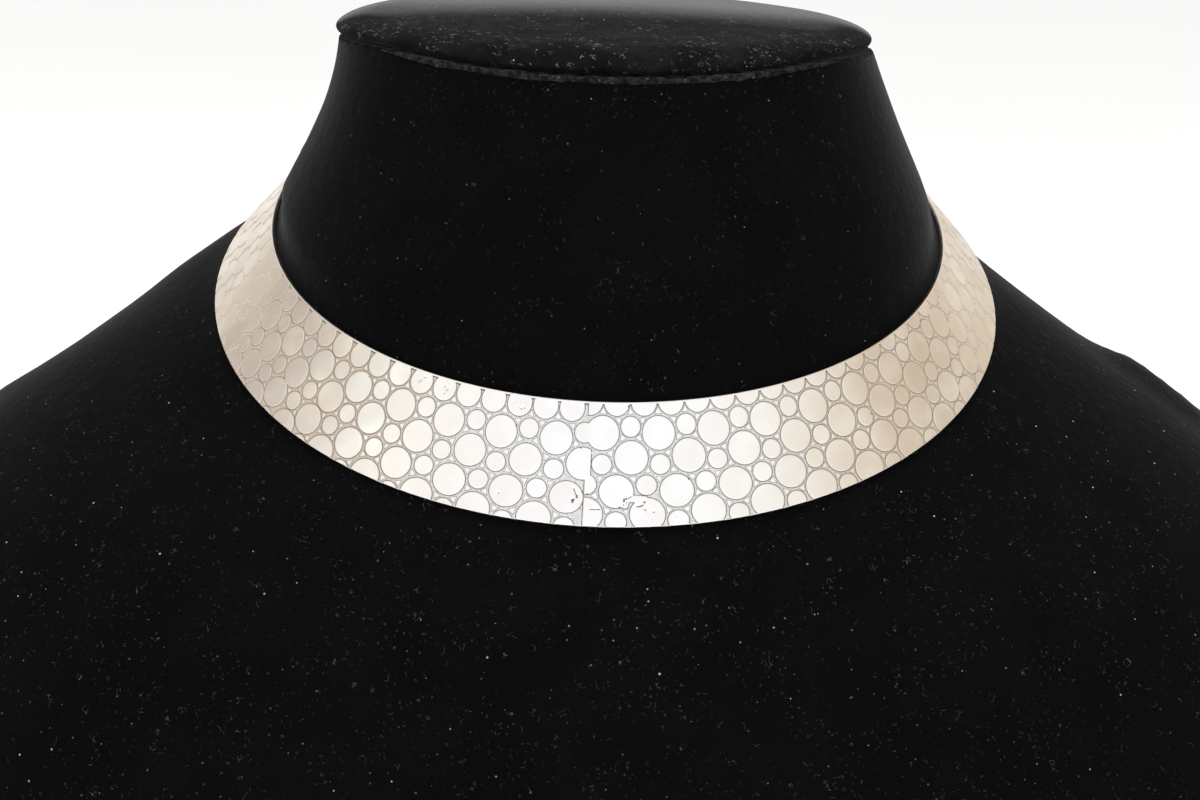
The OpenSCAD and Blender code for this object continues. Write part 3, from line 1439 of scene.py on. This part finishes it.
@dataclass
class NeckBust:
    """The velvet neck, shoulders and chest."""

    top: NeckTop = field(default_factory=NeckTop)
    node: str = "bust"
    foot_clear: float = 6.0
    crease_reach: float = 3.0
    top_edge_crease: float = 0.6
    rounding: int = 2
    level: float = 0.01
    most_bent: float = math.radians(50)
    most_skewed: float = math.radians(80)
    swells: tuple[Swell, ...] = (
        Swell((-73.7, 34, 181), (-80, 31, 176), 11.0, 1.1),
        Swell((-105, 28, 160), (-108, 28, 157.5), 7.0, -0.4),
        Swell((-118, 21, 151.5), (-124, 18, 147), 6.0, 0.65),
        Swell((104.5, 26, 160.5), (124, 20, 147.5), 7.5, 2.5),
        Swell((-58.2, 6, 202.5), (-59.8, 6, 199.3), 4.5, -1.3),
        Swell((-61, 2, 194), (-62, 9, 193), 3.0, 0.45),
        Swell((60.5, 4, 194), (61.5, 12, 193), 3.2, 0.42),
        Swell((73, -30, 171), (92, -30, 158), 4.0, 0.7),
        Swell((70, -34, 164), (88, -34, 151), 6.0, -0.5),
        Swell((-60, -56, 150), (-30, -66, 138), 14.0, 0.6),
        Swell((30, -66, 120), (80, -60, 128), 16.0, 0.5),
    )

    def quads(self) -> BMesh:
        """A merged copy of the CAD node's mesh, with its triangles joined and its edges held sharp.

        Returns:
            The bmesh, in metres.
        """
        shape = bmesh.new()
        shape.from_mesh(bpy.data.objects[self.node].data)
        bmesh.ops.remove_doubles(shape, verts=shape.verts, dist=TOUCHING)
        for height in (lambda place: place[2], self.top.above):
            heights = {vert: abs(height(np.array(vert.co) / MM)) for vert in shape.verts}
            level = [face for face in shape.faces if all(heights[vert] < self.level for vert in face.verts)]
            bmesh.ops.dissolve_faces(shape, faces=level)
        bmesh.ops.join_triangles(
            shape,
            faces=[face for face in shape.faces if len(face.verts) == 3],
            angle_face_threshold=self.most_bent,
            angle_shape_threshold=self.most_skewed,
        )
        crease = shape.edges.layers.float.new("crease_edge")
        for face in shape.faces:
            if len(face.verts) > 4:
                for edge in face.edges:
                    edge[crease] = 1.0 if face.normal.z < 0 else self.top_edge_crease
        return shape

    def build(self, material: Material) -> Piece:
        """Makes the bust's piece, which stands for the CAD node.

        Args:
            material: the velvet.

        Returns:
            The piece.
        """
        piece = finish_mesh("velvet_bust", self.quads(), material)
        round_off(piece, self.rounding)
        graph = bpy.context.evaluated_depsgraph_get()
        rounded = bpy.data.meshes.new_from_object(piece.evaluated_get(graph))
        piece.modifiers.clear()
        piece.data = rounded
        self.settle(rounded)
        rounded.shade_smooth()
        LOG.info("velvet_bust: %d faces when rounded", len(rounded.polygons))
        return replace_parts(piece, self.node)

    def settle(self, mesh: bpy.types.Mesh) -> None:
        """Moves the velvet in and out along its own normals, and lifts its top edge to the crease.

        Args:
            mesh: the rounded bust's mesh, in metres.
        """
        count = len(mesh.vertices)
        places, normals = np.zeros(count * 3), np.zeros(count * 3)
        mesh.vertices.foreach_get("co", places)
        mesh.vertices.foreach_get("normal", normals)
        places, normals = places.reshape(-1, 3) / MM, normals.reshape(-1, 3)
        lift = sum(swell.lift(places) for swell in self.swells)
        lift = lift * np.clip(places[:, 2] / self.foot_clear, 0, 1)
        below = self.top.above(places)
        across = places[:, :2] - np.array(self.top.middle[:2])
        turn = np.arctan2(across[:, 0], -across[:, 1])
        outer = np.clip(np.linalg.norm(across, axis=1) / self.top.rim, 0, 1) ** self.top.edge_power
        places[:, 2] += self.top.rise(turn) * outer * np.exp(-((below / self.crease_reach) ** 2))
        places = (places + normals * lift[:, None]) * MM
        mesh.vertices.foreach_set("co", places.ravel())
        mesh.update()


@dataclass
class RolledHem:
    """The thin roll of crushed velvet below the cap's crease, across the front, in millimetres; its lighter
    colour is painted sheen.
    """

    top: NeckTop = field(default_factory=NeckTop)
    start: float = math.radians(-54)
    end: float = math.radians(57)
    taper: tuple[float, float] = (math.radians(16), math.radians(24))
    thick: float = 0.5
    tall: float = 0.55
    drop: float = 0.62
    steps: int = 420
    sides: int = 12
    thinnest: float = 0.04
    unevenness: float = 0.1
    waves: Waves = ((17, 0.4, 1.0), (41, 2.0, 0.7), (73, 0.0, 0.5))
    crumple: float = 0.4
    lumps: tuple[tuple[float, float, float], ...] = ((30, 0.6, 1.0), (90, 1.5, 0.4))
    seam_merge: float = 1e-4

    def fullness(self, turn: float) -> float:
        """How full the roll is there, as a share of its full size.

        Args:
            turn: the turn from the front.

        Returns:
            The share, less toward both ends.
        """
        grown = min((turn - self.start) / self.taper[0], (self.end - turn) / self.taper[1], 1.0)
        uneven = 1 + self.unevenness * waver(turn, self.waves)
        return max(self.thinnest, math.sqrt(max(grown, 0.0))) * uneven

    def crushed(self, turn: float, angle: float) -> float:
        """How much the crushed pile swells there, as a share of its size.

        Args:
            turn: the turn from the front.
            angle: the angle round the roll.

        Returns:
            The share, about 1.
        """
        side, face = math.cos(angle), math.sin(angle)
        lumps = (
            size * noise.noise((turn * along, side * across, face * across))
            for along, across, size in self.lumps
        )
        return 1 + self.crumple * sum(lumps)

    def rolled(self, turn: float, angle: float) -> Place:
        """Where a place of the flat strip comes to lie, about the neck's top.

        Args:
            turn: the turn from the front.
            angle: the angle round the roll.

        Returns:
            The place.
        """
        full = self.fullness(turn) * self.crushed(turn, angle)
        out = self.top.rim + full * self.thick * math.cos(angle)
        high = self.top.rise(turn) - self.drop + full * self.tall * math.sin(angle)
        return out * math.sin(turn), -out * math.cos(turn), high

    def build(self, material: Material) -> Piece:
        """Rolls a flat strip into the hem's piece.

        Args:
            material: the crushed velvet, painted lighter as a painted sheen.

        Returns:
            The piece.
        """
        shape = bmesh.new()
        bmesh.ops.create_grid(shape, x_segments=self.steps, y_segments=self.sides, size=1.0)
        for vert in shape.verts:
            turn = self.start + (self.end - self.start) * (vert.co.x + 1) / 2
            vert.co = self.rolled(turn, math.pi * (vert.co.y + 1))
        bmesh.ops.remove_doubles(shape, verts=shape.verts, dist=self.seam_merge)
        ends = [edge for edge in shape.edges if edge.is_boundary]
        bmesh.ops.holes_fill(shape, edges=ends, sides=self.sides)
        bmesh.ops.recalc_face_normals(shape, faces=shape.faces)
        bmesh.ops.transform(shape, matrix=self.top.place(), verts=shape.verts)
        return finish_mesh("velvet_hem", shape, material)


@dataclass(frozen=True)
class Shove:
    """Where the cap's edge was pressed out of true: turns in degrees, the rest in millimetres."""

    turn: float
    span: float
    up: float
    out: float

    def share(self, turn: float) -> float:
        """How much of it is felt at a turn in radians from the front."""
        apart = (math.degrees(turn) - self.turn + 180) % 360 - 180
        return math.exp(-((apart / self.span) ** 2))


@dataclass
class NeckCap:
    """The padded velvet disc on top of the neck, in millimetres."""

    top: NeckTop = field(default_factory=NeckTop)
    node: str = "neck_cap"
    steps: int = 144
    radius: float = 49.0
    under_edge: float = 1.7
    upper_edge: tuple[float, float] = (7.0, 2.5)
    crown: float = 2.0
    play: float = 0.3
    edge_turns: int = 8
    under_shares: tuple[float, ...] = (0, 0.3, 0.6, 0.85)
    upper_shares: tuple[float, ...] = (0.9, 0.75, 0.55, 0.35, 0.15, 0)
    shoves: tuple[Shove, ...] = (
        Shove(-90, 38, 0.05, 0.75),
        Shove(-135, 25, 0.65, 0.0),
        Shove(90, 30, 0.25, -0.05),
    )
    shove_power: int = 6
    waver: float = 0.08
    waves: Waves = ((3, 0.6, 1.0), (7, 1.9, 0.5), (13, 0.0, 0.4))
    pole_merge: float = 1e-4
    rounding: int = 1

    def profile(self) -> list[Place]:
        """The half section from the middle of the underside, round the edge, to the crown.

        Returns:
            The places in order.
        """
        low, (deep, high) = self.under_edge, self.upper_edge
        places = [((self.radius - low) * share, 0, 0) for share in self.under_shares]
        for i in range(self.edge_turns):
            angle = math.pi / 2 * (i / self.edge_turns - 1)
            places.append((self.radius - low + low * math.cos(angle), 0, low + low * math.sin(angle)))
        for i in range(self.edge_turns + 1):
            angle = math.pi / 2 * i / self.edge_turns
            places.append((self.radius - deep + deep * math.cos(angle), 0, low + high * math.sin(angle)))
        places += [((self.radius - deep) * share, 0, low + high) for share in self.upper_shares]
        return [(out, 0, up + self.padding(out, up)) for out, _, up in places]

    def padding(self, out: float, up: float) -> float:
        """How far the filling lifts the upper side."""
        return self.crown * (1 - (out / self.radius) ** 2) if up > self.under_edge else 0.0

    def settle(self, vert: BMVert) -> None:
        """Lifts the cap's lower edge to the crease, and presses its edge out of true.

        Args:
            vert: the vertex, in millimetres about the neck's top.
        """
        turn = math.atan2(vert.co.x, -vert.co.y)
        outward = Vector((vert.co.x, vert.co.y, 0))
        reach = outward.length / self.radius
        upper = min(1.0, vert.co.z / (self.under_edge + self.upper_edge[1]))
        lifted = reach**self.top.edge_power * (1 - upper) * self.top.rise(turn)
        edge = reach**self.shove_power
        vert.co.z += self.play + lifted + edge * upper * self.waver * waver(turn, self.waves)
        for shove in self.shoves:
            felt = edge * shove.share(turn)
            vert.co.z += felt * shove.up
            vert.co += outward.normalized() * felt * shove.out

    def build(self, material: Material) -> Piece:
        """Makes the cap's piece, which stands for the CAD node.

        Args:
            material: the dusty velvet, with its painted sheen.

        Returns:
            The piece.
        """
        shape = bmesh.new()
        verts = [shape.verts.new(place) for place in self.profile()]
        edges = [shape.edges.new(pair) for pair in zip(verts, verts[1:])]
        bmesh.ops.spin(
            shape,
            geom=verts + edges,
            axis=(0, 0, 1),
            cent=(0, 0, 0),
            angle=math.tau,
            steps=self.steps,
            use_merge=True,
        )
        bmesh.ops.remove_doubles(shape, verts=shape.verts, dist=self.pole_merge)
        bmesh.ops.recalc_face_normals(shape, faces=shape.faces)
        for vert in shape.verts:
            self.settle(vert)
        bmesh.ops.transform(shape, matrix=self.top.place(), verts=shape.verts)
        piece = finish_mesh("velvet_cap", shape, material)
        round_off(piece, self.rounding)
        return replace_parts(piece, self.node)


@dataclass(frozen=True)
class SoftBox:
    """A square studio light aimed at the throat, in metres and degrees."""

    name: str
    turn: float
    rise: float
    away: float
    size: float
    power: float


@dataclass
class Studio:
    """The pale floor, the lights, the room that the silver mirrors, and the camera."""

    floor_radius: float = 60.0
    floor_segments: int = 96
    aim: Vector = field(default_factory=lambda: Vector((0, 0, 0.17)))
    boxes: tuple[SoftBox, ...] = (
        SoftBox("front_box", 0, 26, 1.3, 1.15, 6),
        SoftBox("top_box", 0, 88, 1.6, 1.6, 16),
    )
    white: Colour = (1.0, 1.0, 1.0)
    daylight: float = 1.05
    room: tuple[tuple[float, Colour], ...] = (
        (-180, (1.00, 0.97, 0.93)),
        (-150, (1.12, 1.07, 0.99)),
        (-125, (0.67, 0.59, 0.50)),
        (-110, (0.58, 0.52, 0.455)),
        (-97, (0.69, 0.62, 0.54)),
        (-78, (1.00, 0.92, 0.83)),
        (-62, (1.26, 1.34, 1.29)),
        (-50, (1.06, 1.02, 0.98)),
        (0, (1.09, 1.13, 1.26)),
        (30, (1.11, 1.14, 1.17)),
        (52, (0.98, 0.95, 0.88)),
        (78, (0.86, 0.76, 0.65)),
        (102, (0.67, 0.59, 0.49)),
        (125, (0.90, 0.81, 0.70)),
        (150, (0.90, 0.83, 0.75)),
        (180, (1.00, 0.97, 0.93)),
    )
    cuff_centre: Vector = field(default_factory=lambda: Vector((0, 0, 190)))
    look_down: float = math.radians(10.0)
    look_aside: float = math.radians(0.88)
    roll: float = math.radians(-1.61)
    distance: float = 600.0
    aside: float = 1.53
    below: float = 33.0
    focal_pixels: float = 3215.4
    photo_width: float = 1200.0
    sensor: float = 36.0
    nearest: float = 0.01
    farthest: float = 200.0

    def make_floor(self, material: Material) -> None:
        """Lays the floor at the bust's foot.

        Args:
            material: the floor's paint.
        """
        shape = bmesh.new()
        bmesh.ops.create_circle(shape, cap_ends=True, segments=self.floor_segments, radius=self.floor_radius)
        floor = add_mesh("floor", shape, material)

    def make_lights(self) -> None:
        """Hangs the soft boxes, which the silver doesn't mirror."""
        for box in self.boxes:
            data = bpy.data.lights.new(box.name, "AREA")
            data.shape, data.size, data.energy, data.color = "SQUARE", box.size, box.power, self.white
            light = add_object(box.name, data)
            turn, rise = math.radians(box.turn), math.radians(box.rise)
            flat = math.cos(rise)
            away = Vector((math.sin(turn) * flat, -math.cos(turn) * flat, math.sin(rise)))
            light.location = self.aim + away * box.away
            light.rotation_euler = away.to_track_quat("Z", "Y").to_euler()
            light.visible_glossy = False

    def make_room(self) -> None:
        """Sets a white sky for the floor and cloth, and a warm room for what the silver mirrors."""
        world = bpy.data.worlds.new("studio_room")
        bpy.context.scene.world = world
        world.use_nodes = True
        world.node_tree.nodes.clear()
        graph = Graph(world.node_tree)
        toward = graph.add("ShaderNodeTexCoord").outputs["Generated"]
        part = graph.parts(toward)
        ahead = graph.math("MULTIPLY", part["Y"], -1.0)
        turn = graph.math("DIVIDE", graph.math("ARCTAN2", part["X"], ahead), math.tau)
        ramp = graph.add("ShaderNodeValToRGB", {0: graph.math("ADD", turn, 0.5)})
        elements = ramp.color_ramp.elements
        while len(elements) < len(self.room):
            elements.new(0.5)
        for element, (degrees, tint) in zip(elements, self.room):
            element.position, element.color = degrees / 360 + 0.5, (*tint, 1.0)
        room = graph.add("ShaderNodeBackground", {"Color": ramp.outputs[0], "Strength": 1.0})
        sky = graph.add("ShaderNodeBackground", {"Color": self.white, "Strength": self.daylight})
        mirrored = graph.add("ShaderNodeLightPath").outputs["Is Glossy Ray"]
        both = graph.add("ShaderNodeMixShader", {0: mirrored, 1: sky.outputs[0], 2: room.outputs[0]})
        graph.add("ShaderNodeOutputWorld", {"Surface": both.outputs[0]})

    def make_camera(self) -> None:
        """Stands the camera where the photograph was taken from."""
        cos_e, sin_e = math.cos(self.look_down), math.sin(self.look_down)
        cos_a, sin_a = math.cos(self.look_aside), math.sin(self.look_aside)
        level = Vector((cos_a, -sin_a, 0))
        forward = Vector((sin_a * cos_e, cos_a * cos_e, -sin_e))
        upright = Vector((sin_a * sin_e, cos_a * sin_e, cos_e))
        right = math.cos(self.roll) * level - math.sin(self.roll) * upright
        up = math.sin(self.roll) * level + math.cos(self.roll) * upright
        data = bpy.data.cameras.new("camera")
        data.sensor_fit, data.sensor_width = "HORIZONTAL", self.sensor
        data.lens = self.focal_pixels / self.photo_width * self.sensor
        data.clip_start, data.clip_end = self.nearest, self.farthest
        camera = add_object("camera", data)
        place = (self.cuff_centre - self.aside * right - self.below * up - self.distance * forward) * MM
        turned = Matrix((right, up, -forward)).transposed().to_4x4()
        camera.matrix_world = Matrix.Translation(place) @ turned
        bpy.context.scene.camera = camera

    def build(self, effects: Effects) -> None:
        """Sets the whole studio up.

        Args:
            effects: the shared node groups.
        """
        self.make_floor(PaleFloor().build(effects))
        self.make_lights()
        self.make_room()
        self.make_camera()
        bpy.context.scene.view_settings.view_transform = "Standard"


def main() -> None:
    """Builds the pieces round the frame, in order."""
    logging.basicConfig(level=logging.INFO, format="%(name)s: %(message)s")
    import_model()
    effects = Effects.make()
    NeckBust().build(BLACK_VELVET.build(effects))
    RolledHem().build(CRUSHED_SHEEN_VELVET.build(effects))
    NeckCap().build(DUSTY_SHEEN_VELVET.build(effects))
    NeckCuff().build(StampedSilver().build(effects))
    Studio().build(effects)


if __name__ == "__main__":
    main()
